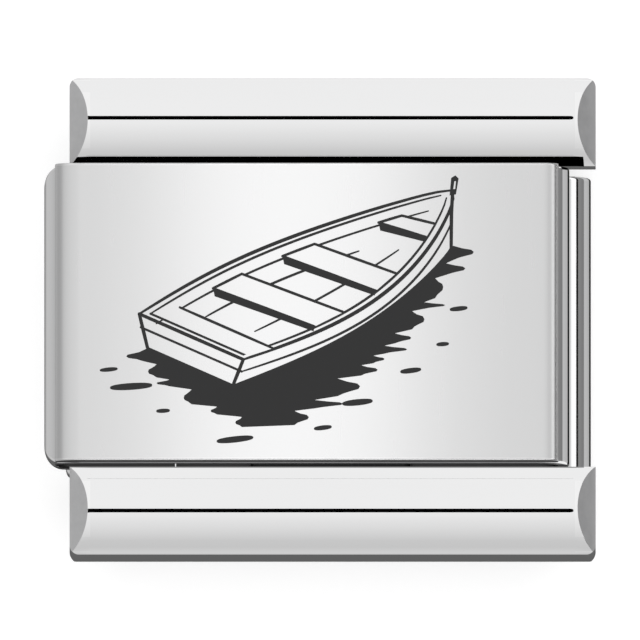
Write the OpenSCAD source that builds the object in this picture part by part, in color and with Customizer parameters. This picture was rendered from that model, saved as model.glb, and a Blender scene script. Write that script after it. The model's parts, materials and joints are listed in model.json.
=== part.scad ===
// Link of a modular charm bracelet, in stainless steel.
// A decorated face plate is soldered on a flattened tube, the front casing.
// Two folded side clips reach into that casing and into the back casing behind
// it. A bowed leaf spring in each casing presses the clips' legs flat, and the
// link stretches when the clips rock on the round edges of those legs.
// +X runs along the bracelet, +Y across it and +Z out of the decorated face.
// The origin is the middle of the link's box, on the surface that it lies on.

/* [Face plate] */
// Length of the face plate along the bracelet
plate_l = 9.46; // [8.8:0.02:9.6]
// Thickness of the face plate
plate_t = 0.4; // [0.3:0.05:0.6]
// Radius that rolls the plate's two ends over
plate_edge_r = 0.3; // [0.1:0.05:0.3]

/* [Casings] */
// Length of each casing along the bracelet
casing_l = 9.86; // [9.4:0.02:10.4]
// Length of the casings and the plate across the bracelet
casing_w = 5.62; // [5.2:0.02:5.7]
// Outside height of each casing
casing_h = 1.28; // [1.26:0.02:1.4]
// Wall thickness of the casings
casing_wall = 0.25; // [0.2:0.01:0.25]
// Outside radius of the casings' bends
casing_bend_r = 0.56; // [0.4:0.02:0.62]
// Space between the back casing and the front one
layer_gap = 0.49; // [0.48:0.01:0.6]
// Width of the slit where a casing's sheet ends meet
seam_w = 0.08; // [0.04:0.02:0.12]

/* [Side clips] */
// Length of each clip's rail along the bracelet
rail_l = 9.88; // [9.4:0.02:10]
// Width of the rail across the bracelet
rail_w = 1.66; // [1.5:0.01:1.7]
// Height of the rail
rail_h = 2.46; // [2.3:0.02:2.5]
// Height of the rail's underside over the surface
rail_base = 0.62; // [0.6:0.02:0.7]
// Height of the rail's crown, from its shoulders to its crest
rail_crown = 0.47; // [0.3:0.01:0.6]
// Thickness of the rail at its outer side, past the slot
rail_side_t = 0.62; // [0.5:0.02:0.7]
// How much shorter the rail is at its crest, at each end
rail_slant = 0.34; // [0.1:0.02:0.5]
// Width of the clips' legs along the bracelet
leg_w = 3; // [2.6:0.1:3]
// Thickness of the legs
leg_t = 0.3; // [0.24:0.02:0.3]
// How far the legs reach into the casings
leg_reach = 1.86; // [1.2:0.02:2.2]

/* [Leaf springs] */
// Width of the leaf springs along the bracelet
spring_w = 2.2; // [1.6:0.1:2.6]
// Thickness of the leaf springs
spring_t = 0.1; // [0.06:0.01:0.12]
// Length of the leaf springs across the bracelet
spring_l = 4.6; // [4:0.1:4.8]

/* [Fits] */
// Clearance between a leg and the wall that it lies on
leg_play = 0.02; // [0.01:0.01:0.03]
// Clearance between the rails and the ends of the casings
end_play = 0.03; // [0.02:0.01:0.12]

/* [Hidden] */
$fn = 64;

// The front casing sits a little to the left of the rails, the back casing and
// the rails a little to the right, so that the whole box is centred on X = 0.
front_x = -0.247;
back_x = 0.156;
rail_x = 0.237;
leg_x = 0.2;

// Heights, from the surface up.
front_base = casing_h + layer_gap;
front_top = front_base + casing_h;
front_leg_z = front_base + casing_wall + leg_play + leg_t / 2;
back_leg_z = casing_h - casing_wall - leg_play - leg_t / 2;
rail_r = rail_w / 2;
rail_top = rail_base + rail_h;
foot_top = rail_base + rail_r; // where the rail's round underside ends
shoulder = rail_top - rail_crown;
crown_r = (pow(rail_r, 2) + pow(rail_crown, 2)) / (2 * rail_crown);

// Places across the bracelet.
rail_in = casing_w / 2 + end_play;
rail_mid = rail_in + rail_r;
leg_tip = casing_w / 2 - leg_reach;
leg_root = 0.5; // how far a leg runs on into the solid rail
leg_edge_r = leg_t / 2 - 0.001; // a leg's edges are as good as half round

cut = 1; // how far a cutting shape runs past what it cuts

// A rectangle with round corners, centred on the origin, out of squares and
// circles, so that every rounded side stays a true cylinder when it is extruded.
module round_rect(size, r) {
    square([size.x - 2 * r, size.y], center = true);
    square([size.x, size.y - 2 * r], center = true);
    for (x = [-1, 1], y = [-1, 1])
        translate([x * (size.x / 2 - r), y * (size.y / 2 - r)])
            circle(r);
}

// Turns a flat XZ outline into a bar that runs across the bracelet.
module along_y(y_from, y_to)
    translate([0, y_to, 0])
        rotate([90, 0, 0])
            linear_extrude(y_to - y_from)
                children();

// Turns a flat YZ outline into a bar that runs along the bracelet.
module along_x(length)
    rotate([90, 0, 90])
        linear_extrude(length, center = true)
            children();

// A flattened tube, open across the bracelet, with its seam in the wall that
// faces the other casing: seam_side is 1 for the upper wall, -1 for the lower.
module casing(seam_side)
    along_y(-casing_w / 2, casing_w / 2)
        difference() {
            round_rect([casing_l, casing_h], casing_bend_r);
            round_rect(
                [casing_l - 2 * casing_wall, casing_h - 2 * casing_wall],
                casing_bend_r - casing_wall
            );
            translate([-casing_l / 4, seam_side * casing_h / 2])
                square([seam_w, 2 * casing_wall + seam_w], center = true);
        }

module face_plate()
    color("gainsboro")
        translate([front_x, 0, front_top])
            along_y(-casing_w / 2, casing_w / 2) {
                translate([-plate_l / 2, 0])
                    square([plate_l, plate_t - plate_edge_r]);
                translate([-plate_l / 2 + plate_edge_r, 0])
                    square([plate_l - 2 * plate_edge_r, plate_t]);
                for (x = [-1, 1])
                    intersection() {
                        translate([
                            x * (plate_l / 2 - plate_edge_r),
                            plate_t - plate_edge_r
                        ])
                            circle(plate_edge_r);
                        translate([-plate_l, 0])
                            square([2 * plate_l, plate_t]);
                    }
            }

module front_casing()
    color("silver")
        translate([front_x, 0, front_base + casing_h / 2])
            casing(-1);

module back_casing()
    color("darkgray")
        translate([back_x, 0, casing_h / 2])
            casing(1);

// The outline that the folded rail has across the bracelet: a low round crown on
// straight sides, a half-round underside, and a slot that is open towards the
// casings and as high as the space between the legs.
module rail_outline() {
    slot_h = front_leg_z - back_leg_z - leg_t;
    slot_end = rail_in + rail_w - rail_side_t - slot_h / 2;
    difference() {
        union() {
            intersection() {
                translate([rail_mid, rail_top - crown_r])
                    circle(crown_r);
                translate([rail_in, foot_top])
                    square([rail_w, rail_h]);
            }
            translate([rail_mid, foot_top])
                circle(rail_r);
            translate([rail_in, foot_top])
                square([rail_w, shoulder - foot_top]);
        }
        translate([rail_in - cut, back_leg_z + leg_t / 2])
            square([slot_end - rail_in + cut, slot_h]);
        translate([slot_end, (front_leg_z + back_leg_z) / 2])
            circle(slot_h / 2);
    }
}

// The rail's side view: cut back at the crest and at the underside, so that
// neighbouring links can bend away from each other.
module rail_side_view() {
    half = rail_l / 2;
    polygon([
        [-half, foot_top], [-half + rail_slant, rail_base],
        [half - rail_slant, rail_base], [half, foot_top],
        [half, shoulder], [half - rail_slant, rail_top],
        [-half + rail_slant, rail_top], [-half, shoulder]
    ]);
}

// A leg has round edges: the clip rocks on them.
module leg(z)
    translate([leg_x, 0, z])
        along_y(leg_tip, rail_in + leg_root)
            round_rect([leg_w, leg_t], leg_edge_r);

module side_clip() {
    intersection() {
        translate([rail_x, 0, 0])
            along_x(rail_l)
                rail_outline();
        translate([rail_x, 0, 0])
            along_y(rail_in - cut, rail_in + rail_w + cut)
                rail_side_view();
    }
    leg(front_leg_z);
    leg(back_leg_z);
}

module upper_side_clip()
    color("whitesmoke")
        side_clip();

module lower_side_clip()
    color("whitesmoke")
        mirror([0, 1, 0])
            side_clip();

// A strip bowed across the bracelet. Its back rests at height rest_z, and its
// ends reach end_z, on the legs: it bows up where end_z is the lower of the two.
module leaf_spring(rest_z, end_z) {
    side = end_z < rest_z ? 1 : -1;
    sag = abs(rest_z - end_z) - spring_t;
    bow_r = (pow(spring_l / 2, 2) + pow(sag, 2)) / (2 * sag);
    translate([leg_x, 0, 0])
        along_x(spring_w)
            intersection() {
                translate([0, rest_z - side * bow_r])
                    difference() {
                        circle(bow_r);
                        circle(bow_r - spring_t);
                    }
                translate([-spring_l / 2, min(rest_z, end_z) - cut])
                    square([spring_l, abs(rest_z - end_z) + 2 * cut]);
            }
}

module front_leaf_spring()
    color("slategray")
        leaf_spring(
            front_top - casing_wall - leg_play / 2,
            front_leg_z + leg_t / 2 + leg_play
        );

module back_leaf_spring()
    color("slategray")
        leaf_spring(
            casing_wall + leg_play / 2,
            back_leg_z - leg_t / 2 - leg_play
        );

face_plate();
front_casing();
front_leaf_spring();
upper_side_clip();
lower_side_clip();
back_casing();
back_leaf_spring();
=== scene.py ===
# %% [markdown]
# # A link of a charm bracelet, in polished stainless steel
#
# The link is only 10 mm long. Its front is a polished plate with a small
# printed rowing boat, soldered on a flattened tube, the front casing. A second
# tube lies behind it, and two folded clips hold the two together at the sides.
# A bowed leaf spring in each tube keeps the link closed.
#
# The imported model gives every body, size and joint. This script only makes
# the looks, in the same frame: +X runs along the bracelet, +Y across it, and
# +Z out of the face. It works in metres, so `MM` turns millimetres into them.

# %% Load the frame
import json
import math
import random

import bmesh
import bpy
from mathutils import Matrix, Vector
from mathutils.geometry import delaunay_2d_cdt

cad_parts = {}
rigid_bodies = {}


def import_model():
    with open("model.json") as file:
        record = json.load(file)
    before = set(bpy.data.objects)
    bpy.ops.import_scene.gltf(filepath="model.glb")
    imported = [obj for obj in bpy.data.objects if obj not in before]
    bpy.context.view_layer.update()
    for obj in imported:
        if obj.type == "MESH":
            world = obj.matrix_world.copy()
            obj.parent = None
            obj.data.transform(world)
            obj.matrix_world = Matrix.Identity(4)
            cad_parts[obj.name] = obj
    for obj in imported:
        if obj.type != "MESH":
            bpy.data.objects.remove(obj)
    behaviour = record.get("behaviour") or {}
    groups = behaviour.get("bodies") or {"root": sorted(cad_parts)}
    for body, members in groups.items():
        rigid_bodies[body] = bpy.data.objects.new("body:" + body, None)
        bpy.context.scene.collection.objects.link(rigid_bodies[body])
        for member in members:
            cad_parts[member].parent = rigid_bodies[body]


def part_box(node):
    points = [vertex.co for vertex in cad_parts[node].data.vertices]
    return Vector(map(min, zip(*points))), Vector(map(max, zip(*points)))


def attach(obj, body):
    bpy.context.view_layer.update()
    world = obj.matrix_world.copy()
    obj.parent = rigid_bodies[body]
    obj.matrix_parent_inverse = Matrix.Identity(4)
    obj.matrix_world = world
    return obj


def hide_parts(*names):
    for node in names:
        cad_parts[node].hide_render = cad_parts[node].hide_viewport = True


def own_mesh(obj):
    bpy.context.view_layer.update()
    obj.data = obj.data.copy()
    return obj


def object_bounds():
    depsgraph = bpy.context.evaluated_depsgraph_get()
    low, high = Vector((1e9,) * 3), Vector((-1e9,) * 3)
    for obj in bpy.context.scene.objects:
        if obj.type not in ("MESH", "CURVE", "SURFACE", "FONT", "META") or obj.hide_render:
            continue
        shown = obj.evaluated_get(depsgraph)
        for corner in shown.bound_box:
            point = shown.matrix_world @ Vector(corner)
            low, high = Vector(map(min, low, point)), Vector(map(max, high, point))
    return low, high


for leftover in list(bpy.data.objects):
    bpy.data.objects.remove(leftover)
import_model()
cad_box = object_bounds()
MM = 0.001
print("whole link, mm:", [round(c / MM, 3) for c in cad_box[1] - cad_box[0]])

# %% [markdown]
# ## A helper for node trees
#
# Materials and Geometry Nodes are both trees of nodes. One small function
# adds a node, sets its options, and fills each socket either with a plain
# value or with a link from another node. That keeps every tree below to one
# line a node, in the order in which the data flows.


# %% Node helper
UNIT = (0.0, 1.0)


def add(tree, kind, sockets=(), **options):
    """Adds a node. sockets maps an input's name or number to a value or a node's output."""
    node = tree.nodes.new(kind)
    for option, value in options.items():
        setattr(node, option, value)
    for socket, value in dict(sockets).items():
        if isinstance(value, bpy.types.NodeSocket):
            tree.links.new(value, node.inputs[socket])
        else:
            node.inputs[socket].default_value = value
    return node


def math_node(tree, operation, a, b=0.0):
    """The output of one Math node."""
    return add(tree, "ShaderNodeMath", {0: a, 1: b}, operation=operation).outputs[0]


def ranged(tree, value, given, wanted=UNIT, curve="LINEAR"):
    """Maps the given range of values to the wanted one, and clamps it there."""
    return add(tree, "ShaderNodeMapRange", {
        "Value": value, "From Min": given[0], "From Max": given[1],
        "To Min": wanted[0], "To Max": wanted[1],
    }, interpolation_type=curve).outputs[0]


# %% [markdown]
# ## Shared finishes, as node groups
#
# Steel shows how it was worked. Brushing leaves fine parallel lines, wear
# leaves short scratches in every direction, and a handled part is brighter
# where its edges rub; that brighter edge colour is also a painted highlight
# along the rounded edges. Each of these is a node group, built once, with
# named inputs, so that every finish below can use it with its own values. The
# groups only put out masks and heights: the shader itself stays in the
# material. Their scales are in turns per metre, because the patterns read
# Object coordinates, and an object this small needs large numbers.


# %% Group maker
def new_group(name, inputs, outputs):
    """An empty shader group with float inputs {name: default} and float outputs."""
    tree = bpy.data.node_groups.new(name, "ShaderNodeTree")
    for socket, default in inputs.items():
        made = tree.interface.new_socket(socket, in_out="INPUT", socket_type="NodeSocketFloat")
        made.default_value = default
    for socket in outputs:
        tree.interface.new_socket(socket, in_out="OUTPUT", socket_type="NodeSocketFloat")
    return tree, tree.nodes.new("NodeGroupInput"), tree.nodes.new("NodeGroupOutput")


def stretched_noise(tree, coordinates, turn, stretch, scale, detail=2.0):
    """Noise drawn out into lines; stretch scales it along each axis."""
    mapping = add(
        tree, "ShaderNodeMapping",
        {"Vector": coordinates, "Rotation": turn, "Scale": stretch},
    )
    noise = add(
        tree, "ShaderNodeTexNoise",
        {"Vector": mapping.outputs[0], "Scale": scale, "Detail": detail, "Roughness": 0.6},
    )
    return noise.outputs[0]


# %% Brushed lines
def brushed_group(name, stretch):
    """Fine parallel lines. Lines is their height, Streaks the broader bands that they gather in."""
    tree, given, out = new_group(name, {"Scale": 20000.0}, ["Lines", "Streaks"])
    here = add(tree, "ShaderNodeTexCoord").outputs["Object"]
    no_turn = (0.0, 0.0, 0.0)
    fine = stretched_noise(tree, here, no_turn, stretch, given.outputs["Scale"], detail=3.0)
    broad_scale = math_node(tree, "MULTIPLY", given.outputs["Scale"], 0.12)
    broad = stretched_noise(tree, here, no_turn, stretch, broad_scale)
    tree.links.new(fine, out.inputs["Lines"])
    tree.links.new(broad, out.inputs["Streaks"])
    return tree


brushed_across = brushed_group("lines_across_bracelet", (1.0, 0.03, 1.0))
brushed_along = brushed_group("lines_along_bracelet", (0.02, 1.0, 1.0))

# %% [markdown]
# ## Scratches
#
# A polished bracelet carries hairline scratches from wear. Each layer of them
# is noise that is drawn out into long lines and cut off so sharply that only
# its highest ridges stay. Three layers at three angles look like chance.


# %% Hairline scratches
def scratches_group():
    """Hairlines in three directions: 1 on a scratch and 0 beside it."""
    tree, given, out = new_group("hairline_scratches", {"Scale": 22000.0, "Amount": 0.5}, ["Mask"])
    here = add(tree, "ShaderNodeTexCoord").outputs["Object"]
    threshold = math_node(tree, "MULTIPLY_ADD", given.outputs["Amount"], -0.12)
    threshold.node.inputs[2].default_value = 0.76
    upper = math_node(tree, "ADD", threshold, 0.03)
    total = 0.0
    for turn in (0.35, 1.45, 2.6):
        lines = stretched_noise(
            tree, here, (0.5, 0.3, turn), (1.0, 0.045, 0.5), given.outputs["Scale"], detail=0.0
        )
        total = math_node(tree, "MAXIMUM", ranged(tree, lines, (threshold, upper)), total)
    tree.links.new(total, out.inputs["Mask"])
    return tree


scratches = scratches_group()

# %% [markdown]
# ## Worn edges with a painted highlight, and torn metal
#
# Two more groups. The first breaks up the strip along an edge, so that it is
# rubbed bright in some places and not in others, and that brightness is also a
# painted highlight along the edge: it reads an attribute that is 1 on the narrow
# faces that round an edge. The second is for the ends of the clips, where the
# press sheared the strip: a matt, blotchy, faintly torn face.


# %% Edge wear and sheared metal
def edge_wear_and_highlight_group():
    """Where an edge is rubbed bright, which is also a painted highlight: from 0 to 1."""
    tree, given, out = new_group("edge_wear_and_highlight", {"Scale": 2500.0}, ["Mask"])
    here = add(tree, "ShaderNodeTexCoord").outputs["Object"]
    patches = add(
        tree, "ShaderNodeTexNoise",
        {"Vector": here, "Scale": given.outputs["Scale"], "Detail": 3.0},
    ).outputs[0]
    contrast = ranged(tree, patches, (0.2, 0.5))
    on_edge = add(tree, "ShaderNodeAttribute", attribute_name="edge").outputs["Fac"]
    tree.links.new(math_node(tree, "MULTIPLY", contrast, on_edge), out.inputs["Mask"])
    return tree


def sheared_group():
    """Torn metal: Blotches is its slow variation, Tears its height."""
    tree, given, out = new_group("sheared_metal", {"Scale": 5000.0}, ["Blotches", "Tears"])
    here = add(tree, "ShaderNodeTexCoord").outputs["Object"]
    blotches = add(
        tree, "ShaderNodeTexNoise",
        {"Vector": here, "Scale": given.outputs["Scale"], "Detail": 4.0, "Roughness": 0.65},
    ).outputs[0]
    tear_scale = math_node(tree, "MULTIPLY", given.outputs["Scale"], 4.0)
    tears = stretched_noise(tree, here, (0.0, 0.0, 0.0), (1.0, 1.0, 0.12), tear_scale, detail=4.0)
    tree.links.new(blotches, out.inputs["Blotches"])
    tree.links.new(tears, out.inputs["Tears"])
    return tree


edge_wear_and_highlight = edge_wear_and_highlight_group()
sheared = sheared_group()
print("shared groups:", [group.name for group in bpy.data.node_groups])

# %% [markdown]
# ## The steels
#
# All the metal is one stainless steel, so its colour hardly changes, except
# where it is darkened as painted shade: the insides and the blanked edges. What
# changes is the finish. `steel` makes one finish from a few numbers: how
# smooth it is, which way it was brushed, and how deep the lines are. Base
# Color, Roughness and the bump's height all vary over the surface; Metallic
# is the same all over, so it is set on the shader's own socket.


# %% Steel maker
def finish_of(name):
    """A new material with its tree, its shader and a helper that places a group."""
    material = bpy.data.materials.new(name)
    material.use_nodes = True
    tree = material.node_tree
    shader = tree.nodes["Principled BSDF"]
    shader.inputs["Metallic"].default_value = 1.0

    def place(group, **values):
        node = tree.nodes.new("ShaderNodeGroup")
        node.node_tree = group
        for socket, value in values.items():
            node.inputs[socket].default_value = value
        return node.outputs

    return material, tree, shader, place


def mix_colour(tree, factor, a, b):
    """A colour that goes from a to b."""
    mix = add(tree, "ShaderNodeMix", {0: factor}, data_type="RGBA")
    for socket, value in ((mix.inputs[6], a), (mix.inputs[7], b)):
        if isinstance(value, bpy.types.NodeSocket):
            tree.links.new(value, socket)
        else:
            socket.default_value = (*value, 1.0)
    return mix.outputs[2]


def bump(tree, shader, height, distance):
    """Feeds a height, times a distance in metres, to the shader's normal."""
    node = add(tree, "ShaderNodeBump", {"Height": height, "Distance": distance})
    tree.links.new(node.outputs[0], shader.inputs["Normal"])


def steel(name, colour, roughness, lines, line_scale, line_depth, scratch_amount, worn_and_highlight_colour):
    """A worked steel. roughness is (smoothest, roughest); line_depth is in metres."""
    material, tree, shader, place = finish_of(name)
    brushed = place(lines, Scale=line_scale)
    hair = place(scratches, Amount=scratch_amount)["Mask"]
    worn_and_highlight = place(edge_wear_and_highlight)["Mask"]
    darker = tuple(0.985 * c for c in colour)
    tone = mix_colour(tree, brushed["Streaks"], darker, colour)
    # Rounded edges take the brighter worn colour: edge wear and a painted highlight.
    tone = mix_colour(tree, worn_and_highlight, tone, worn_and_highlight_colour)
    tree.links.new(tone, shader.inputs["Base Color"])
    rough = ranged(tree, brushed["Streaks"], UNIT, roughness)
    rougher = math_node(tree, "MULTIPLY", hair, 0.3 * scratch_amount * (0.1 + roughness[1]))
    tree.links.new(math_node(tree, "ADD", rough, rougher), shader.inputs["Roughness"])
    height = math_node(tree, "SUBTRACT", brushed["Lines"], hair)
    bump(tree, shader, height, line_depth)
    return material


# %% The finishes
# The last colour of each steel is its worn edge colour, which is also a painted highlight on the
# rounded edges.
mirror_steel = steel(
    "mirror_polished_steel", (0.87, 0.87, 0.872), (0.015, 0.03),
    brushed_along, 26000.0, 5e-9, 0.10, (0.90, 0.90, 0.90),
)
satin_steel = steel(
    "satin_plate_steel", (0.66, 0.66, 0.662), (0.262, 0.276),
    brushed_across, 30000.0, 5e-9, 0.03, (0.74, 0.74, 0.742),
)
casing_steel = steel(
    "drawn_casing_steel", (0.84, 0.84, 0.845), (0.05, 0.10),
    brushed_across, 24000.0, 4e-8, 0.4, (0.90, 0.90, 0.90),
)
# Painted shade: the insides are near black. This stands in for the shade inside the tubes as well
# as for their unpolished finish.
dull_steel_painted_shade = steel(
    "unpolished_inside_painted_shade", (0.04, 0.04, 0.041), (0.35, 0.50),
    brushed_across, 12000.0, 4e-7, 0.2, (0.05, 0.05, 0.05),
)
# Painted shade: the blanked edges are darker than their finish alone would make them, so the side
# faces of the plate and casings read dark beside the slits.
edge_steel_painted_shade = steel(
    "blanked_edge_painted_shade_steel", (0.34, 0.34, 0.345), (0.30, 0.42),
    brushed_along, 12000.0, 2e-7, 0.2, (0.40, 0.40, 0.405),
)
spring_steel = steel(
    "rolled_spring_steel", (0.42, 0.43, 0.45), (0.28, 0.42),
    brushed_along, 12000.0, 4e-7, 0.5, (0.60, 0.61, 0.62),
)

# Painted shade: the near-black inside steel and the darkened blanked edge steel also stay dark
# where they are seen at a grazing angle.
for material in (dull_steel_painted_shade, edge_steel_painted_shade):
    shader = material.node_tree.nodes["Principled BSDF"]
    shader.inputs["Specular Tint"].default_value = (0.03, 0.03, 0.03, 1.0)


# %% Sheared ends and the print's black
def sheared_finish():
    """The matt grey face that a shear leaves."""
    material, tree, shader, place = finish_of("sheared_steel")
    torn = place(sheared)
    tone = mix_colour(tree, torn["Blotches"], (0.60, 0.60, 0.605), (0.76, 0.76, 0.765))
    tree.links.new(tone, shader.inputs["Base Color"])
    rough = ranged(tree, torn["Blotches"], UNIT, (0.36, 0.55))
    tree.links.new(rough, shader.inputs["Roughness"])
    bump(tree, shader, torn["Tears"], 1.2e-6)
    return material


def print_finish():
    """Steel that a laser has blackened: matt, dark grey and very slightly grainy."""
    material, tree, shader, place = finish_of("laser_black")
    shader.inputs["Metallic"].default_value = 0.0
    grain = place(sheared, Scale=9000.0)
    tone = mix_colour(tree, grain["Blotches"], (0.016, 0.016, 0.0165), (0.024, 0.024, 0.0245))
    tree.links.new(tone, shader.inputs["Base Color"])
    rough = ranged(tree, grain["Blotches"], UNIT, (0.62, 0.78))
    tree.links.new(rough, shader.inputs["Roughness"])
    bump(tree, shader, grain["Tears"], 6e-7)
    return material


sheared_steel = sheared_finish()
laser_black = print_finish()
print("finishes:", [material.name for material in bpy.data.materials if material.use_nodes])

# %% [markdown]
# ## Turning mesh data into finished pieces
#
# Every piece ends the same way. Its faces are shaded smooth, and their normals
# are weighted by area, so that a large flat stays perfectly flat in a mirror
# finish while the narrow faces that round its edges bend the light. The
# narrow faces are marked for the edge wear and its painted highlight. Then the
# piece rides on its body and replaces its plain CAD node.

# %% Finishing a piece
NARROW = 0.026 * MM
BEND_ANGLE = math.radians(9.0)


def mark_edges(mesh):
    """Writes the attribute that the edge wear and its painted highlight read: 1 on the narrow faces
    round an edge.
    """
    work = bmesh.new()
    work.from_mesh(mesh)
    marks = []
    for face in work.faces:
        narrow = face.calc_area() < NARROW * face.calc_perimeter() / 2
        turns = max((edge.calc_face_angle(0.0) for edge in face.edges), default=0.0)
        marks.append(1.0 if narrow and BEND_ANGLE < turns else 0.0)
    work.free()
    mesh.attributes.new("edge", "FLOAT", "FACE").data.foreach_set("value", marks)


def flat_flats(piece):
    """Weights the normals by area and applies the result."""
    piece.data.shade_smooth()
    weighted = piece.modifiers.new("weighted", "WEIGHTED_NORMAL")
    weighted.weight = 100
    weighted.keep_sharp = True
    bake(piece)


def bake(piece):
    """Applies a piece's modifiers: its evaluated mesh becomes its mesh."""
    graph = bpy.context.evaluated_depsgraph_get()
    mesh = bpy.data.meshes.new_from_object(piece.evaluated_get(graph), depsgraph=graph)
    piece.modifiers.clear()
    old = piece.data
    piece.data = mesh
    mesh.name = piece.name
    bpy.data.meshes.remove(old)


def new_piece(name, mesh):
    """An object at the origin with that mesh, in the scene."""
    piece = bpy.data.objects.new(name, mesh)
    bpy.context.scene.collection.objects.link(piece)
    return piece


def seat(piece, body, node):
    """The last step: the piece rides on its body and stands for its CAD node."""
    mark_edges(piece.data)
    flat_flats(piece)
    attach(piece, body)
    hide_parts(node)
    low, high = piece_box(piece)
    print(piece.name, "mm:", [round((b - a) / MM, 3) for a, b in zip(low, high)])


def piece_box(piece):
    """The lowest and highest corner of a piece."""
    spots = [vertex.co for vertex in piece.data.vertices]
    return [[pick(spot[axis] for spot in spots) for axis in range(3)] for pick in (min, max)]


# %% Rings of edges
def cut_rings(mesh, axis, places):
    """Adds a ring of edges at each place along an axis: shading bends only beyond it."""
    work = bmesh.new()
    work.from_mesh(mesh)
    for place in places:
        spot = [place if i == axis else 0.0 for i in range(3)]
        across = [1.0 if i == axis else 0.0 for i in range(3)]
        parts = list(work.verts) + list(work.edges) + list(work.faces)
        bmesh.ops.bisect_plane(work, geom=parts, plane_co=spot, plane_no=across, dist=1e-9)
    work.to_mesh(mesh)
    work.free()


# %% [markdown]
# ## The casings: sheet bent round into a flat tube
#
# A maker bends a strip of sheet round a bar until its two ends meet in a seam.
# Geometry Nodes can follow that rule. The tree lays down the six points of the
# fold, rounds its four corners, and sweeps the strip's own cross-section along
# that line. Length, wall, bend and seam are inputs, so both casings come from
# the same tree. Because it is a sweep, the tube is open across the bracelet,
# its wall has the same thickness everywhere, and each rim can be rounded.


# %% Geometry tree helper
def new_geometry(name, inputs):
    """An empty geometry tree with float inputs; returns it, its inputs and its output node."""
    tree = bpy.data.node_groups.new(name, "GeometryNodeTree")
    tree.interface.new_socket("Geometry", in_out="OUTPUT", socket_type="NodeSocketGeometry")
    for socket in inputs:
        tree.interface.new_socket(socket, in_out="INPUT", socket_type="NodeSocketFloat")
    return tree, tree.nodes.new("NodeGroupInput").outputs, tree.nodes.new("NodeGroupOutput")


def finish_tree(tree, geometry, material, out):
    """Ends a tree: smooth faces, real geometry and its material."""
    smooth = add(tree, "GeometryNodeSetShadeSmooth", {"Geometry": geometry}).outputs[0]
    real = add(tree, "GeometryNodeRealizeInstances", {"Geometry": smooth}).outputs[0]
    painted = add(tree, "GeometryNodeSetMaterial", {"Geometry": real, "Material": material})
    tree.links.new(painted.outputs[0], out.inputs[0])


def grow(name, tree, values):
    """Runs a geometry tree with its inputs set, and keeps the result as a plain piece."""
    piece = new_piece(name, bpy.data.meshes.new(name))
    modifier = piece.modifiers.new("tree", "NODES")
    modifier.node_group = tree
    keys = {item.name: item.identifier for item in tree.interface.items_tree}
    for socket, value in values.items():
        modifier[keys[socket]] = value
    bake(piece)
    return piece


def rounded_bar(tree, wide, high, radius):
    """The cross-section that a strip is swept with: a rectangle with soft corners."""
    outline = add(
        tree, "GeometryNodeCurvePrimitiveQuadrilateral", {"Width": wide, "Height": high}
    ).outputs[0]
    return add(
        tree, "GeometryNodeFilletCurve",
        {"Curve": outline, "Radius": radius, "Count": 4, "Limit Radius": True}, mode="POLY",
    ).outputs[0]


# %% The casing's tree
def casing_tree():
    """A strip folded into a flat tube. Its inputs are sizes in metres."""
    tree, given, out = new_geometry("folded_casing", [
        "Length", "Height", "Width", "Wall", "Bend", "Seam At", "Seam Gap", "Rim", "Left Corner",
    ])

    def times(a, b):
        return math_node(tree, "MULTIPLY", a, b)

    def minus(a, b):
        return math_node(tree, "SUBTRACT", a, b)

    def spot(x, z):
        return add(tree, "ShaderNodeCombineXYZ", {"X": x, "Z": z}).outputs[0]

    right, top = (times(minus(given[name], given["Wall"]), 0.5) for name in ("Length", "Height"))
    left, bottom = times(right, -1.0), times(top, -1.0)
    half_gap = times(given["Seam Gap"], 0.5)
    fold = [
        spot(math_node(tree, "ADD", given["Seam At"], half_gap), bottom),
        spot(right, bottom), spot(right, top), spot(left, top), spot(left, bottom),
        spot(minus(given["Seam At"], half_gap), bottom),
    ]
    chooser = add(tree, "GeometryNodeIndexSwitch", data_type="VECTOR")
    while len(chooser.index_switch_items) < len(fold):
        chooser.index_switch_items.new()
    tree.links.new(add(tree, "GeometryNodeInputIndex").outputs[0], chooser.inputs[0])
    for place, point in enumerate(fold):
        tree.links.new(point, chooser.inputs[place + 1])
    points = add(tree, "GeometryNodeMeshLine", {"Count": len(fold)}).outputs[0]
    line = add(
        tree, "GeometryNodeSetPosition", {"Geometry": points, "Position": chooser.outputs[0]}
    ).outputs[0]
    line = add(tree, "GeometryNodeMeshToCurve", {0: line}).outputs[0]
    bend = minus(given["Bend"], times(given["Wall"], 0.5))
    line = add(
        tree, "GeometryNodeFilletCurve",
        {"Curve": line, "Radius": bend, "Count": 24, "Limit Radius": False}, mode="POLY",
    ).outputs[0]
    section = rounded_bar(tree, given["Width"], given["Wall"], given["Rim"])
    tube = add(
        tree, "GeometryNodeCurveToMesh",
        {"Curve": line, "Profile Curve": section, "Fill Caps": True},
    ).outputs[0]

    # The blank's corners are rounded, so the rim draws in towards the left bend.
    position = add(tree, "GeometryNodeInputPosition").outputs[0]
    here = add(tree, "ShaderNodeSeparateXYZ", {0: position})
    radius = given["Left Corner"]
    start = math_node(tree, "ADD", times(given["Length"], -0.5), radius)
    past = math_node(tree, "MAXIMUM", minus(start, here.outputs[0]), 0.0)
    chord = math_node(tree, "MAXIMUM", minus(times(radius, radius), times(past, past)), 0.0)
    drop = minus(radius, math_node(tree, "SQRT", chord))
    half_width = times(given["Width"], 0.5)
    share = math_node(tree, "DIVIDE", minus(half_width, drop), half_width)
    rounded = add(tree, "ShaderNodeCombineXYZ", {
        "X": here.outputs[0], "Y": times(here.outputs[1], share), "Z": here.outputs[2],
    }).outputs[0]
    shaped = add(tree, "GeometryNodeSetPosition", {"Geometry": tube, "Position": rounded})
    finish_tree(tree, shaped.outputs[0], casing_steel, out)
    return tree


# %% Both casings
CASING_WALL = 0.25 * MM
CASING_BEND = 0.56 * MM
SEAM_GAP = 0.02 * MM
CASING_RIM = 0.05 * MM
CASING_RING = 0.07 * MM
FACES_ACROSS = 0.9
folded_casing = casing_tree()


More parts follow.
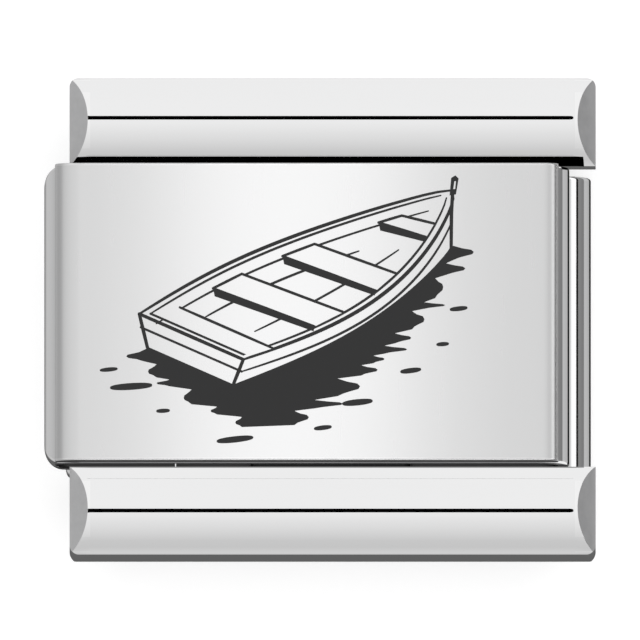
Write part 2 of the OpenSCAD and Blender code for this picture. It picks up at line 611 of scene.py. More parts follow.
def make_casing(name, node, body, turned, left_corner):
    """Grows one casing in the place of its CAD node; turned puts the seam in its upper wall."""
    low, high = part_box(node)
    size, middle = high - low, (low + high) / 2
    piece = grow(name, folded_casing, {
        "Length": size.x, "Height": size.z, "Width": size.y, "Wall": CASING_WALL,
        "Bend": CASING_BEND, "Seam At": -size.x / 4, "Seam Gap": SEAM_GAP,
        "Rim": CASING_RIM, "Left Corner": left_corner,
    })
    for vertex in piece.data.vertices:
        if turned:
            vertex.co.z *= -1
            vertex.co.y *= -1
        vertex.co += middle
    near_rim = size.y / 2 - CASING_RING
    cut_rings(piece.data, 1, (-near_rim, near_rim))
    # Inner faces take the near-black inside steel: painted shade inside the tube.
    piece.data.materials.append(dull_steel_painted_shade)
    # Faces across the bracelet take the blanked edge steel, darkened as painted shade.
    piece.data.materials.append(edge_steel_painted_shade)
    for face in piece.data.polygons:
        aside = face.center - middle
        outward = face.normal.x * aside.x + face.normal.z * aside.z
        if abs(face.normal.y) > FACES_ACROSS:
            face.material_index = 2
        elif outward < -0.01 * MM:
            face.material_index = 1
    seat(piece, body, node)
    return piece


front_casing = make_casing("front_casing_folded", "front_casing", "front", False, 0.34 * MM)
back_casing = make_casing("back_casing_folded", "back_casing", "back", True, 0.12 * MM)

# %% [markdown]
# ## The leaf springs: bowed strips
#
# Each spring is a thin strip of spring steel that is bowed across the
# bracelet. Its middle presses on the casing's wall, and its two ends press on
# the legs of the two clips. Again the rule is simple, an arc through three
# points, so a second small tree sweeps a thin bar along it. When the real link
# stretches, the strip is pressed flatter, towards the wall that it rests on;
# here it keeps its resting bow.


# %% The spring's tree
def spring_tree():
    """A thin bar swept along an arc across the bracelet. Crown and Ends are its heights."""
    tree, given, out = new_geometry("bowed_strip", [
        "Length", "Width", "Thickness", "Crown", "Ends", "At X",
    ])
    reach = math_node(tree, "MULTIPLY", given["Length"], 0.5)

    def spot(y, z):
        return add(tree, "ShaderNodeCombineXYZ", {"X": given["At X"], "Y": y, "Z": z}).outputs[0]

    arc = add(
        tree, "GeometryNodeCurveArc",
        {
            "Resolution": 48,
            "Start": spot(math_node(tree, "MULTIPLY", reach, -1.0), given["Ends"]),
            "Middle": spot(0.0, given["Crown"]),
            "End": spot(reach, given["Ends"]),
        },
        mode="POINTS",
    ).outputs[0]
    edge = math_node(tree, "MULTIPLY", given["Thickness"], 0.35)
    section = rounded_bar(tree, given["Width"], given["Thickness"], edge)
    strip = add(
        tree, "GeometryNodeCurveToMesh",
        {"Curve": arc, "Profile Curve": section, "Fill Caps": True},
    ).outputs[0]
    finish_tree(tree, strip, spring_steel, out)
    return tree


# %% Both springs
SPRING_T = 0.09 * MM
SPRING_SHARE = 0.98
bowed_strip = spring_tree()


def make_spring(name, node, body, bows_up):
    """Grows one spring inside its CAD node's box."""
    low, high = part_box(node)
    middle = (low + high) / 2
    crown, ends = (high.z, low.z) if bows_up else (low.z, high.z)
    inward = -SPRING_T / 2 if bows_up else SPRING_T / 2
    piece = grow(name, bowed_strip, {
        "Length": (high.y - low.y) * SPRING_SHARE, "Width": high.x - low.x,
        "Thickness": SPRING_T, "Crown": crown + inward, "Ends": ends - inward, "At X": middle.x,
    })
    seat(piece, body, node)
    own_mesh(piece)
    return piece


front_spring = make_spring(
    "front_spring_bowed", "front_leaf_spring", "front", True
)
back_spring = make_spring(
    "back_spring_bowed", "back_leaf_spring", "back", False
)

# %% [markdown]
# ## Prisms with soft edges
#
# The plate and the clips are prisms: one outline, drawn out along an axis. A
# few lines of bmesh are the shortest way to make those, because their ends
# need cuts and their edges need rounding that a sweep can't give. An arc is
# worked out from its centre, radius and angles, so the outlines below hold
# only the points that their shapes need.


# %% Outline helpers
def arc(centre, radius, start, end, steps):
    """Points on an arc, from one angle to the other, in degrees."""
    turns = [math.radians(start + (end - start) * i / steps) for i in range(steps + 1)]
    return [
        (centre[0] + radius[0] * math.cos(turn), centre[1] + radius[1] * math.sin(turn))
        for turn in turns
    ]


def mesh_of(work, name):
    """Turns a bmesh into a mesh, and frees it."""
    mesh = bpy.data.meshes.new(name)
    work.to_mesh(mesh)
    work.free()
    return mesh


def walls(work, first, second):
    """Joins two rings of vertices with a band of faces."""
    for i in range(len(first)):
        j = (i + 1) % len(first)
        work.faces.new((first[i], first[j], second[j], second[i]))


def soften(mesh, offset, sharper_than, segments=3):
    """Rounds every edge of a mesh that turns more sharply than that many degrees."""
    work = bmesh.new()
    work.from_mesh(mesh)
    bmesh.ops.recalc_face_normals(work, faces=work.faces)
    limit = math.radians(sharper_than)
    sharp = [edge for edge in work.edges if edge.calc_face_angle(0.0) > limit]
    bmesh.ops.bevel(
        work, geom=sharp, offset=offset, segments=segments, profile=0.5,
        affect="EDGES", clamp_overlap=True,
    )
    work.to_mesh(mesh)
    work.free()


# %% [markdown]
# ## The face plate
#
# The plate is pressed from thicker sheet. Its two ends are rolled over, which
# is why its reflections darken there, and its long edges are nearly square.
# An elliptical quarter gives the roll.

# %% Make the plate
LEFT_ROLL = (0.46 * MM, 0.22 * MM)
RIGHT_ROLL = (0.30 * MM, 0.16 * MM)
PLATE_EDGE = 0.028 * MM
PLATE_RING = 0.045 * MM


def plate_mesh():
    """The plate's side view, drawn out across the bracelet."""
    low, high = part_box("face_plate")
    outline = [(low.x, low.z), (high.x, low.z)]
    outline += arc((high.x - RIGHT_ROLL[0], high.z - RIGHT_ROLL[1]), RIGHT_ROLL, 0, 90, 18)
    outline += arc((low.x + LEFT_ROLL[0], high.z - LEFT_ROLL[1]), LEFT_ROLL, 90, 180, 22)
    work = bmesh.new()
    near = [work.verts.new((x, low.y, z)) for x, z in outline]
    far = [work.verts.new((x, high.y, z)) for x, z in outline]
    work.faces.new(near)
    work.faces.new(reversed(far))
    walls(work, far, near)
    mesh = mesh_of(work, "face_plate_polished")
    soften(mesh, PLATE_EDGE, 40)
    cut_rings(mesh, 1, (low.y + PLATE_RING, high.y - PLATE_RING))
    mesh.materials.append(satin_steel)
    mesh.materials.append(edge_steel_painted_shade)
    # The plate's long side faces take the blanked edge steel, darkened as painted shade.
    for face in mesh.polygons:
        if abs(face.normal.y) > FACES_ACROSS:
            face.material_index = 1
    return mesh


plate = new_piece("face_plate_polished", plate_mesh())
seat(plate, "front", "face_plate")

# %% [markdown]
# ## The side clips
#
# A clip is a thick strip folded into a deep C, which makes the round rail that
# shows from the front, with two flat legs that reach into the two casings. Its
# ends are sheared at a slant so that neighbouring links can bend apart. The
# rail's outline has a low arch on top, upright sides, a half circle below and a
# slot in its inner side. Each end has three flat facets, so the end faces are
# split at the two heights where the round parts begin. An upright prism and an
# exact Boolean then round off the rail's two outer corners.

# %% The rail's outline
RAIL_R = 0.83 * MM
RAIL_CROWN = 0.47 * MM
RAIL_SLANT = 0.34 * MM
RAIL_SIDE = 0.62 * MM
RAIL_CORNER = 0.17 * MM
RAIL_EDGE = 0.036 * MM
RAIL_RING = 0.05 * MM
SLOT = (1.01 * MM, 2.04 * MM)
LEG_T = 0.3 * MM
CROWN_R = (RAIL_R ** 2 + RAIL_CROWN ** 2) / (2 * RAIL_CROWN)


def rail_regions(inner, outer, base, top):
    """Three closed outlines, in (y, z), that fill the rail's section from the top down."""
    middle = (inner + outer) / 2
    upper, lower = top - RAIL_CROWN, base + RAIL_R
    radius = (RAIL_R, RAIL_R)
    slot_r = (SLOT[1] - SLOT[0]) / 2
    slot_middle = (outer - RAIL_SIDE - slot_r, (SLOT[0] + SLOT[1]) / 2)
    split = math.degrees(math.asin((lower - slot_middle[1]) / slot_r))
    cut = math.degrees(math.asin((lower - SLOT[0]) / RAIL_R))
    spring = math.degrees(math.acos(RAIL_R / CROWN_R))
    round_slot = (slot_r, slot_r)
    crown = arc((middle, top - CROWN_R), (CROWN_R, CROWN_R), spring, 180 - spring, 64)
    side = [(outer, lower), (outer, upper), (inner, upper), (inner, SLOT[1])]
    side += arc(slot_middle, round_slot, 90, split, 18)
    foot = arc(slot_middle, round_slot, split, -90, 10)
    foot += arc((middle, lower), radius, -180 + cut, 0, 40)
    return crown, side, foot


print("crown radius, mm:", round(CROWN_R / MM, 3))


# %% Draw the rail out
def drawn_up(name, outline, bottom, top):
    """A closed upright prism over an outline in (x, y)."""
    work = bmesh.new()
    under = [work.verts.new((x, y, bottom)) for x, y in outline]
    over = [work.verts.new((x, y, top)) for x, y in outline]
    work.faces.new(reversed(under))
    work.faces.new(over)
    walls(work, under, over)
    return mesh_of(work, name)


def corner_cutter(low, high):
    """The rail's outline from above, with round outer corners, as a tall prism."""
    spare, radius = 0.0004 * MM, (RAIL_CORNER, RAIL_CORNER)
    inset = RAIL_CORNER - spare
    outline = [(low.x - spare, low.y - MM), (high.x + spare, low.y - MM)]
    outline += arc((high.x - inset, high.y - inset), radius, 0, 90, 12)
    outline += arc((low.x + inset, high.y - inset), radius, 90, 180, 12)
    return drawn_up("corner_cutter", outline, low.z - MM, high.z + MM)


def rail_mesh(low, high):
    """The rail alone: its section drawn out along the bracelet between slanted ends."""
    upper, lower = high.z - RAIL_CROWN, low.z + RAIL_R

    def cut_back(z):
        return RAIL_SLANT * max(0.0, (z - upper) / RAIL_CROWN, (lower - z) / RAIL_R)

    work = bmesh.new()
    for region in rail_regions(high.y - 2 * RAIL_R, high.y, low.z, high.z):
        left = [work.verts.new((low.x + cut_back(z), y, z)) for y, z in region]
        right = [work.verts.new((high.x - cut_back(z), y, z)) for y, z in region]
        for face in (work.faces.new(reversed(left)), work.faces.new(right)):
            face.material_index = 1
        walls(work, left, right)
    bmesh.ops.remove_doubles(work, verts=work.verts, dist=0.0005 * MM)
    shared = [face for face in work.faces if all(len(edge.link_faces) > 2 for edge in face.edges)]
    bmesh.ops.delete(work, geom=shared, context="FACES")
    return mesh_of(work, "rail")


# %% [markdown]
# ## The legs
#
# A leg is the same strip pressed thinner. Its long edges are rounded off,
# because the clip rocks on them when the link stretches, and the corners of
# its tip are clipped round so that it slides into the casing. The legs run on
# into the solid rail, and a Boolean joins the three into one closed piece.


# %% One leg
LEG_CORNER = 0.45 * MM


def leg_mesh(low, high, z):
    """A flat tongue with round corners at its tip, centred on the height z."""
    corner = (LEG_CORNER, LEG_CORNER)
    tip = arc((low.x + LEG_CORNER, low.y + LEG_CORNER), corner, 180, 270, 12)
    tip += arc((high.x - LEG_CORNER, low.y + LEG_CORNER), corner, 270, 360, 12)
    outline = tip + [(high.x, high.y), (low.x, high.y)]
    mesh = drawn_up("leg", outline, z - LEG_T / 2, z + LEG_T / 2)
    soften(mesh, LEG_T * 0.45, 60, segments=6)
    return mesh


# %% Both clips
LEG_X = (-1.3 * MM, 1.7 * MM)
LEG_ROOT = 3.3 * MM
RAIL_INNER = 2.84 * MM
LEG_HEIGHTS = (0.86 * MM, 2.19 * MM)


def on_a_leg(face):
    """Whether a face belongs to one of the two legs, outside the rail."""
    return abs(face.center.y) < RAIL_INNER - 0.02 * MM


def combine(piece, operation, mesh):
    """An exact Boolean of a piece with a mesh, which is used up."""
    other = new_piece("other", mesh)
    boolean = piece.modifiers.new("boolean", "BOOLEAN")
    boolean.operation = operation
    boolean.solver = "EXACT"
    boolean.object = other
    bake(piece)
    bpy.data.objects.remove(other)


def make_clip(name, node, body, side):
    """A rail and its two legs in one piece; side is 1 for +Y and -1 for -Y."""
    low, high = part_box(node)
    tip = min(abs(low.y), abs(high.y))
    outer = max(abs(low.y), abs(high.y))
    low, high = Vector((low.x, tip, low.z)), Vector((high.x, outer, high.z))
    piece = new_piece(name, rail_mesh(low, high))
    for material in (mirror_steel, sheared_steel, dull_steel_painted_shade):
        piece.data.materials.append(material)
    combine(piece, "INTERSECT", corner_cutter(low, high))
    soften(piece.data, RAIL_EDGE, 25)
    past_ends = RAIL_SLANT + RAIL_RING
    cut_rings(piece.data, 0, (low.x + past_ends, high.x - past_ends))
    for height in LEG_HEIGHTS:
        start, end = Vector((LEG_X[0], tip, 0)), Vector((LEG_X[1], LEG_ROOT, 0))
        combine(piece, "UNION", leg_mesh(start, end, height))
    for vertex in piece.data.vertices:
        vertex.co.y *= side
    if side < 0:
        piece.data.flip_normals()
    # Faces on the legs take the near-black inside steel: painted shade inside the casings.
    for face in piece.data.polygons:
        if on_a_leg(face):
            face.material_index = 2
    seat(piece, body, node)


make_clip("upper_clip_folded", "upper_side_clip", "upper_clip", 1)
make_clip("lower_clip_folded", "lower_side_clip", "lower_clip", -1)

# %% [markdown]
# ## The printed boat: designing the drawing
#
# The plate carries a line drawing of a rowing boat, blackened by a laser. It
# is drawn here by rule. The hull is a small model of its own: `hull` turns a
# place along the boat, a place across it and a height into a point on the
# plate, the way an oblique drawing does. Every line of the drawing then
# follows the hull, and a change of beam or sheer changes them all together.
# All of the drawing's sizes are in millimetres.

# %% The hull's rule
STERN = Vector((-2.17, -0.48))
AXIS = Vector((4.91, 2.27))
ACROSS = Vector((0.915, -0.404))
BEAM = 1.10
SHEER = 0.50
DEPTH = 0.58


def half_beam(u):
    """Half the hull's width, from the transom at u = 0 to the stem at u = 1."""
    fullness = 0.97 + 0.22 * math.sin(math.pi * min(u, 0.9) / 0.9) * (1 - 0.35 * u)
    return BEAM * fullness * (1 - u ** 3.4) ** 0.8


def hull(u, across, height=0.0):
    """A point on the plate. across is -1 on the far side and 1 on the near one."""
    along = STERN + AXIS * u + ACROSS * (half_beam(u) * across)
    return along + Vector((0.0, SHEER * u ** 2.6 + height))


def line(start, end, across, height=0.0, steps=36):
    """A line that follows the hull; across and height may be numbers or functions of u."""
    spots = []
    for i in range(steps + 1):
        u = start + (end - start) * i / steps
        side = across(u) if callable(across) else across
        lift = height(u) if callable(height) else height
        spots.append(hull(u, side, lift))
    return spots


def inboard(width):
    """How far across a line is that runs that many millimetres inside the near gunwale."""
    return lambda u: max(0.0, 1 - width / max(half_beam(u), 0.001))


def outboard(width):
    """The same on the far side."""
    return lambda u: -inboard(width)(u)


def waterline(u):
    """Where the hull's near side meets the water."""
    spread_out = 0.80 - 0.10 * u
    rise = SHEER * u ** 2.6
    return hull(u * 0.975, spread_out, -DEPTH - rise * 0.75)


print("boat from", hull(0, -1).to_tuple(2), "to", hull(1, 0).to_tuple(2), "mm")

# %% [markdown]
# ## The printed boat: ink and paper
#
# A drawing is built up in layers, as a painter does: a later shape covers an
# earlier one, either with ink or with the clear plate. A stroke is a ribbon
# that swells a little towards its middle, like a pen's, with round ends.

# %% Layers
layers = []


def paint(outline, ink):
    """One more closed shape, in ink or clear. The triangulation needs it to run anticlockwise."""
    spots = [Vector(spot[:2]) for spot in outline]
    area = sum(a.cross(b) for a, b in zip(spots, spots[1:] + spots[:1]))
    layers.append((spots if area > 0 else spots[::-1], ink))


def stroke(spots, width=0.062, taper=0.45):
    """A pen stroke through those points."""
    spots = [Vector(spot) for spot in spots]
    count = len(spots)
    left, right = [], []
    for i, spot in enumerate(spots):
        ahead = spots[min(i + 1, count - 1)] - spots[max(i - 1, 0)]
        normal = Vector((-ahead.y, ahead.x)).normalized()
        swell = math.sin(math.pi * i / (count - 1))
        half = width / 2 * (1 - taper + taper * swell ** 0.5)
        left.append(spot + normal * half)
        right.append(spot - normal * half)

    def cap(spot, edge):
        turn = math.degrees(math.atan2(edge.y - spot.y, edge.x - spot.x))
        radius = (edge - spot).length
        return arc(spot, (radius, radius), turn, turn - 180, 6)[1:-1]

    paint(left + cap(spots[-1], left[-1]) + right[::-1] + cap(spots[0], right[0]), True)


def blob(centre, length, height, tilt=0.0):
    """A small flat ripple."""
    turned = math.radians(tilt)
    outline = []
    for x, y in arc((0.0, 0.0), (length / 2, height / 2), 0, 345, 23):
        squared = math.copysign(abs(y / height * 2) ** 0.7, y) * height / 2
        outline.append((
            centre[0] + x * math.cos(turned) - squared * math.sin(turned),
            centre[1] + x * math.sin(turned) + squared * math.cos(turned),
        ))
    paint(outline, True)


# %% [markdown]
# ## The printed boat: water
#
# Still water mirrors the dark hull, and small waves tear the reflection's edge
# into flat fingers. The edge runs from the transom's far corner, below the
# boat and up to the stem. The random numbers have a fixed seed, so the drawing
# is the same each time.

# %% Draw the water
chance = random.Random(7)


def fingers(start, end, count, reach, bulge):
    """A ragged edge from start to end: flat fingers that point away from the hull."""
    edge = []
    steps = [0.45 + 1.1 * chance.random() for _ in range(count)]
    share = 0.0
    for step in steps:
        part = step / sum(steps)
        share += part / 2
        middle = Vector(start).lerp(Vector(end), share)
        half = (start[1] - end[1]) * part / 2
        out = bulge * math.sin(math.pi * share) ** 0.7
        tip = reach * (0.25 + 0.75 * chance.random())
        root = reach * 0.10 * chance.random()
        for along, across in (
            (root, 0.90), (0.45 * tip, 0.62), (0.88 * tip, 0.45), (tip, 0.20), (0.93 * tip, -0.05),
            (0.60 * tip, -0.25), (0.30 * tip, -0.45), (root, -0.70),
        ):
            edge.append(middle + Vector((out + along, half * across)))
        share += part / 2
    return edge


far_corner = hull(0, -0.84, -DEPTH)
lowest = Vector((-0.85, -2.20))
stem_foot = waterline(1.0)
left_edge = fingers(lowest, far_corner + Vector((-0.05, 0.0)), 6, -0.50, -0.45)
right_edge = fingers(stem_foot + Vector((0.02, 0.05)), lowest + Vector((0.25, 0.0)), 12, 0.55, 0.62)
reflection = [far_corner] + [waterline(u / 20) for u in range(21)] + right_edge + left_edge
paint(reflection, True)
ripples = (
    (-3.30, -1.42, 0.80, 0.13), (-3.72, -1.10, 0.34, 0.08), (-2.70, -1.88, 0.26, 0.08),
    (-1.35, -2.42, 0.70, 0.12), (0.30, -2.20, 0.34, 0.09), (0.95, -1.72, 0.58, 0.12),
    (1.95, -1.12, 0.40, 0.10), (2.55, -0.62, 0.24, 0.08), (2.85, 0.05, 0.34, 0.09),
)
for x, y, length, height in ripples:
    blob((x, y), length, height, 3 + 5 * chance.random())
print(len(layers), "shapes of water")

# %% [markdown]
# ## The printed boat: hull and thwarts
#
# The clear hull covers the water behind it. Then come the boat's lines: the
# double gunwale, the planking inside the far side, the floor boards, three
# thwarts with a dark edge, the transom and the stem.

# %% Draw the hull
near_side = line(0, 1, 1)
far_side = line(0, 1, -1)
water_side = [waterline(u / 36) for u in range(37)]
keel_corner = hull(0, 0.80, -DEPTH)
paint(far_side + near_side[::-1], False)
paint(near_side + water_side[::-1], False)
paint([hull(0, -1), hull(0, 1), keel_corner, far_corner], False)

stroke(far_side, 0.070)
stroke(near_side, 0.075)
stroke(water_side, 0.060)
stroke([hull(0, -1), hull(0, 0), hull(0, 1)], 0.070, 0.1)
stroke([hull(0, 1), hull(0, 0.9, -DEPTH / 2), keel_corner], 0.070, 0.1)
stroke([hull(0, -1), hull(0, -0.92, -DEPTH / 2), far_corner], 0.070, 0.1)
stroke([keel_corner, far_corner], 0.060, 0.1)
stroke(line(0, 0.95, 0.97, lambda u: -0.24 - 0.10 * u), 0.050)
stroke([hull(0, -0.97, -0.24), hull(0, 0.97, -0.24)], 0.050, 0.1)
stroke([near_side[-1], hull(0.995, 0, -0.4), stem_foot], 0.070, 0.1)


# %% Draw the inside
RAIL = 0.13
floor_drop = -0.40
stroke(line(0.02, 0.965, outboard(RAIL)), 0.050)
stroke(line(0.02, 0.965, inboard(RAIL)), 0.050)
stroke([hull(0.022, outboard(RAIL)(0)), hull(0.022, inboard(RAIL)(0))], 0.050, 0.1)
stroke(line(0.035, 0.93, outboard(RAIL + 0.06), -0.20), 0.045)
stroke(line(0.20, 0.72, outboard(RAIL + 0.30), floor_drop), 0.050)
stroke(line(0.22, 0.78, 0.10, floor_drop + 0.04), 0.045)


def thwart(aft, fore, drop=-0.12, edge=0.15):
    """A seat board across the boat, with its aft edge in shadow."""
    far, near = outboard(RAIL + 0.10), inboard(RAIL + 0.02)
    board = [
        hull(aft, far(aft), drop), hull(fore, far(fore), drop),
        hull(fore, near(fore), 0.0), hull(aft, near(aft), 0.0),
    ]
    below = [board[3] + Vector((-0.02, -edge * 0.6)), board[0] + Vector((0.03, -edge))]
    shade = [board[0], board[3]] + below
    paint(board, False)
    paint(shade, True)
    for a, b in ((board[0], board[1]), (board[1], board[2]), (board[0], board[3])):
        stroke([a, a.lerp(b, 0.5), b], 0.055, 0.1)


for aft, fore in ((0.80, 0.86), (0.52, 0.62), (0.27, 0.38)):
    thwart(aft, fore)
stern_seat = [hull(0.13, t, -0.12) for t in (-0.80, -0.4, 0.0, 0.4, 0.84)]
paint(stern_seat + [hull(0.05, 0.84, -0.10), hull(0.05, -0.80, -0.10)], False)
stroke(stern_seat, 0.055, 0.2)

# %% Draw the stem post
post_foot = hull(1, 0, -0.10)
post = [(-0.06, 0.0), (0.06, 0.02), (0.11, 0.32), (0.05, 0.38), (-0.03, 0.33)]
paint([post_foot + Vector(spot) for spot in post], True)
eye = [(0.01, 0.12), (0.045, 0.12), (0.06, 0.27), (0.03, 0.27)]
paint([post_foot + Vector(spot) for spot in eye], False)
print(len(layers), "shapes in all")

# %% [markdown]
# ## The printed boat: from layers to one thin film
#
# Overlapping shapes can't be printed on each other, because their surfaces
# would lie at the same height. A constrained triangulation cuts all outlines
# at once where they cross, and says which shapes each small triangle lies in.
# The topmost of them decides whether that triangle is ink. The inked triangles
# become one film, a hundredth of a millimetre thick.

# %% Make the film
FILM = (-0.004 * MM, 0.010 * MM)


def inked_triangles():
    """Vertices and triangles, in millimetres, of everything that is ink in the end."""
    spots, outlines = [], []
    for outline, _ in layers:
        outlines.append(list(range(len(spots), len(spots) + len(outline))))
        spots += outline
    spots, _, faces, _, _, sources = delaunay_2d_cdt(spots, [], outlines, 1, 1e-5, True)
    top_is_ink = [bool(source) and layers[max(source)][1] for source in sources]
    return spots, [face for face, ink in zip(faces, top_is_ink) if ink]


def film_mesh():
    """The inked triangles, laid on the plate and given their thickness."""
    low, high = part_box("face_plate")
    middle_x = (low.x + high.x) / 2
    spots, faces = inked_triangles()
    work = bmesh.new()
    verts = [work.verts.new((middle_x + x * MM, y * MM, high.z + FILM[0])) for x, y in spots]
    for face in faces:
        work.faces.new([verts[i] for i in face])
    loose = [vertex for vertex in work.verts if not vertex.link_faces]
    bmesh.ops.delete(work, geom=loose, context="VERTS")
    bmesh.ops.recalc_face_normals(work, faces=work.faces)
    raised = bmesh.ops.extrude_face_region(work, geom=list(work.faces))["geom"]
    for item in raised:
        if isinstance(item, bmesh.types.BMVert):
            item.co.z += FILM[1] - FILM[0]
    bmesh.ops.recalc_face_normals(work, faces=work.faces)
    mesh = mesh_of(work, "rowing_boat_print")
    mesh.materials.append(laser_black)
    return mesh


boat_print = new_piece("rowing_boat_print", film_mesh())
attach(boat_print, "front")
print("print:", len(boat_print.data.polygons), "faces, mm:", [
    (round(a / MM, 3), round(b / MM, 3)) for a, b in zip(*piece_box(boat_print))
])

# %% [markdown]
# ## The studio
#
# Polished steel has no look of its own: it shows the room. Such a link is best
# seen on a white table in a white tent. A bright world stands for the tent. It
# is a little dimmer in front of the link, on the -Y side, where a tent has its
# opening. Thin black flags hang over the two rails, as they do in a jewellery
# studio, so that a fine dark line shows how round each rail is. Small cards
# stand in the slits between the rails and the casings: a black one on the +Y
# side and a grey one on the -Y side are painted shade, and a bright glowing one
# on the -Y side is a painted highlight, all seen as reflections in the rails.
# They show in the rails only, and the plate, its print, the casings, the springs
# and the table top show in no reflection. The soft lamps shine on the plate
# alone. Neither the flags, the cards nor the lamps show directly.

# %% Floor and tent
link_middle = (cad_box[0] + cad_box[1]) / 2


def matt(name, base, roughness, glow, strength=1.0):
    """A material without any shine, in greys: its own and that of its glow."""
    material, tree, shader, place = finish_of(name)
    shader.inputs["Metallic"].default_value = 0.0
    shader.inputs["Base Color"].default_value = (base, base, base, 1.0)
    shader.inputs["Roughness"].default_value = roughness
    shader.inputs["Specular IOR Level"].default_value = 0.0
    shader.inputs["Emission Color"].default_value = (glow, glow, glow, 1.0)
    shader.inputs["Emission Strength"].default_value = strength
    return material


def white_floor():
    """A white table top, lit from below so that shadows on it stay faint."""
    mesh = bpy.data.meshes.new("table_top")
    half = 0.25
    corners = [(-half, -half), (half, -half), (half, half), (-half, half)]
    mesh.from_pydata([(x, y, cad_box[0].z) for x, y in corners], [], [(0, 1, 2, 3)])
    table_top = new_piece("table_top", mesh)
    table_top.visible_glossy = False
    mesh.materials.append(matt("white_table", 0.72, 0.9, 1.0, 0.58))


def tone_curve(tree, value, stops):
    """A curve of straight stretches through stops of (value from -1 to 1, tone)."""
    ramp = add(tree, "ShaderNodeValToRGB", {0: ranged(tree, value, (-1.0, 1.0))})
    ramp.color_ramp.interpolation = "LINEAR"
    while len(ramp.color_ramp.elements) < len(stops):
        ramp.color_ramp.elements.new(0.5)
    for element, (place, tone) in zip(ramp.color_ramp.elements, stops):
        element.position = (place + 1) / 2
        element.color = (tone, tone, tone, 1.0)
    return ramp.outputs[0]


def white_tent():
    """The tent's walls: one curve of tones, by height, for each of its four sides."""
    world = bpy.data.worlds.new("white_tent")
    world.use_nodes = True
    tree = world.node_tree
    direction = add(tree, "ShaderNodeTexCoord").outputs["Generated"]
    x, y, z = add(tree, "ShaderNodeSeparateXYZ", {0: direction}).outputs

    def blend(factor, a, b):
        return add(tree, "ShaderNodeMix", {0: factor, 2: a, 3: b}, data_type="FLOAT").outputs[0]

    def share(value, start, end):
        return ranged(tree, value, (start, end), UNIT, "SMOOTHSTEP")

    under = [(-1.0, 0.12), (-0.97, 0.14), (-0.85, 0.50)]
    back = tone_curve(tree, z, under + [(-0.5, 0.97), (1.0, 0.98)])
    front = tone_curve(tree, z, under + [
        (-0.25, 0.72), (0.05, 0.64), (0.35, 0.66), (0.7, 0.78), (1.0, 0.90),
    ])
    left = tone_curve(tree, z, under + [
        (-0.7, 0.61), (-0.27, 0.59), (0.12, 0.52), (0.29, 0.50),
        (0.60, 0.54), (0.70, 0.82), (1.0, 0.92),
    ])
    right = tone_curve(tree, z, [
        (-1.0, 0.0), (-0.80, 0.0), (-0.72, 0.52),
        (-0.215, 0.60), (-0.15, 0.22), (0.33, 0.28), (0.35, 0.0), (0.47, 0.0),
        (0.50, 1.25), (0.73, 1.25), (0.80, 0.70), (1.0, 0.93),
    ])
    light = blend(share(y, -0.5, 0.3), front, back)
    light = blend(share(x, -0.2, -0.6), light, left)
    light = blend(share(x, 0.22, 0.36), light, right)
    tree.links.new(light, tree.nodes["Background"].inputs["Strength"])
    tree.nodes["Background"].inputs["Color"].default_value = (1.0, 1.0, 1.0, 1.0)
    bpy.context.scene.world = world


white_floor()
white_tent()
for piece in (plate, boat_print, front_casing, back_casing, front_spring, back_spring):
    piece.visible_glossy = False

# %% Black flags over the rails
FLAG_HEIGHT = 1.2 * MM
FLAG_WIDTH = 0.25 * MM
FLAG_CORNER = 0.08 * MM
FLAG_ENDS = (-4.75 * MM, 4.76 * MM)
CAMERA_TILT = math.radians(6.5)


def card(name, spots, tone=0.0):
    """A card that shows in polished steel only: black, or glowing in that tone; in the slits, a
    painted shade or a painted highlight.
    """
    mesh = bpy.data.meshes.new(name)
    mesh.from_pydata(spots, [], [tuple(range(len(spots)))])
    piece = new_piece(name, mesh)
    mesh.materials.append(matt(name, 0.0, 1.0, tone))
    piece.visible_camera = False
    piece.visible_diffuse = False
    piece.visible_shadow = False


def black_flag(name, rail_y, rail_top, lean):
    """A thin black card with round corners, where a rail's crest mirrors it."""
    middle_y = rail_y + FLAG_HEIGHT * math.tan(CAMERA_TILT + 2 * lean)
    outline = []
    for x, y, turn in ((1, 1, 0), (-1, 1, 90), (-1, -1, 180), (1, -1, 270)):
        centre_x = (FLAG_ENDS[1] if x > 0 else FLAG_ENDS[0]) - x * FLAG_CORNER
        centre_y = middle_y + y * (FLAG_WIDTH / 2 - FLAG_CORNER)
        outline += arc((centre_x, centre_y), (FLAG_CORNER, FLAG_CORNER), turn, turn + 90, 6)
    card(name, [(x, y, rail_top + FLAG_HEIGHT) for x, y in outline])


for name, node, lean in (
    ("upper_flag", "upper_side_clip", math.radians(2.6)),
    ("lower_flag", "lower_side_clip", math.radians(-4.3)),
):
    low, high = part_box(node)
    outer_y = max(low.y, high.y, key=abs)
    crest_y = outer_y - math.copysign(RAIL_R, outer_y)
    black_flag(name, crest_y, high.z, lean)

# %% Cards in the slits beside the rails: painted shade and a painted highlight
SLIT_ENDS = (FLAG_ENDS[0] - 0.2 * MM, FLAG_ENDS[1] + 0.2 * MM)


def slit_card(name, bottom, top, tone):
    """A card along the slit between a rail and the casing, as painted shade or a painted highlight
    in the rail's reflection; bottom and top are (y, z) in mm.
    """
    left, right = SLIT_ENDS
    corners = ((left, bottom), (right, bottom), (right, top), (left, top))
    card(name, [(x, y * MM, z * MM) for x, (y, z) in corners], tone)
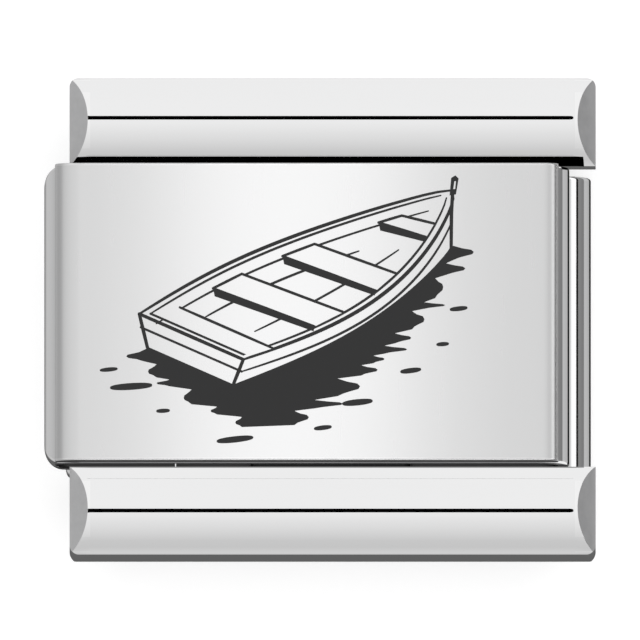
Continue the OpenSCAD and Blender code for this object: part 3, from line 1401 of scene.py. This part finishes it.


# The black and grey cards are painted shade and the glowing card is a painted highlight, all seen
# in the rails.
for name, bottom, top, tone in (
    ("upper_slit_painted_shade", (2.825, 2.45), (2.825, 2.84), 0.0),
    ("lower_slit_painted_shade", (-2.843, 2.50), (-2.81, 2.62), 0.30),
    ("lower_slit_painted_highlight", (-2.81, 2.62), (-2.81, 2.93), 0.97),
):
    slit_card(name, bottom, top, tone)

# %% Soft lamps for the plate
def soft_lamp(name, size, watts, spot):
    """A lamp for the plate alone. spot is in mm from the middle of the link's top."""
    lamp = bpy.data.lights.new(name, "AREA")
    lamp.shape = "RECTANGLE"
    lamp.size, lamp.size_y = (side * MM for side in size)
    lamp.energy = watts
    holder = bpy.data.objects.new(name, lamp)
    holder.location = Vector(spot) * MM + Vector((0.0, 0.0, cad_box[1].z))
    holder.rotation_mode = "QUATERNION"
    aim = Vector((0.0, -spot[1], -spot[2]))
    holder.rotation_quaternion = aim.to_track_quat("-Z", "Y")
    holder.visible_camera = False
    bpy.context.scene.collection.objects.link(holder)
    lit = bpy.data.collections.new(name + "_lights")
    lit.objects.link(plate)
    holder.light_linking.receiver_collection = lit


for name, size, watts, spot in (
    ("plate_strip", (4.5, 16.0), 0.00014, (-0.55, 1.6, 13.0)),
    ("end_strip", (3.0, 14.0), 0.00030, (14.0, 0.0, 1.0)),
    ("side_strip", (12.0, 3.0), 0.00014, (0.0, -12.0, 4.0)),
):
    soft_lamp(name, size, watts, spot)

# %% The camera
VIEW_WIDTH = 12.018 * MM
CAMERA_AWAY = 60 * MM
CAMERA_SHIFT = 0.033 * MM
camera_data = bpy.data.cameras.new("camera")
camera_data.type = "ORTHO"
camera_data.ortho_scale = VIEW_WIDTH
camera = bpy.data.objects.new("camera", camera_data)
bpy.context.scene.collection.objects.link(camera)
bpy.context.scene.camera = camera
direction = Vector((0.0, -math.sin(CAMERA_TILT), math.cos(CAMERA_TILT)))
camera.location = link_middle + direction * CAMERA_AWAY + Vector((0.0, CAMERA_SHIFT, 0.0))
camera.rotation_mode = "QUATERNION"
camera.rotation_quaternion = (-direction).to_track_quat("-Z", "Y")
camera_data.clip_start = 1 * MM
camera_data.clip_end = 1.0

scene = bpy.context.scene
scene.view_settings.view_transform = "Standard"
scene.view_settings.look = "None"
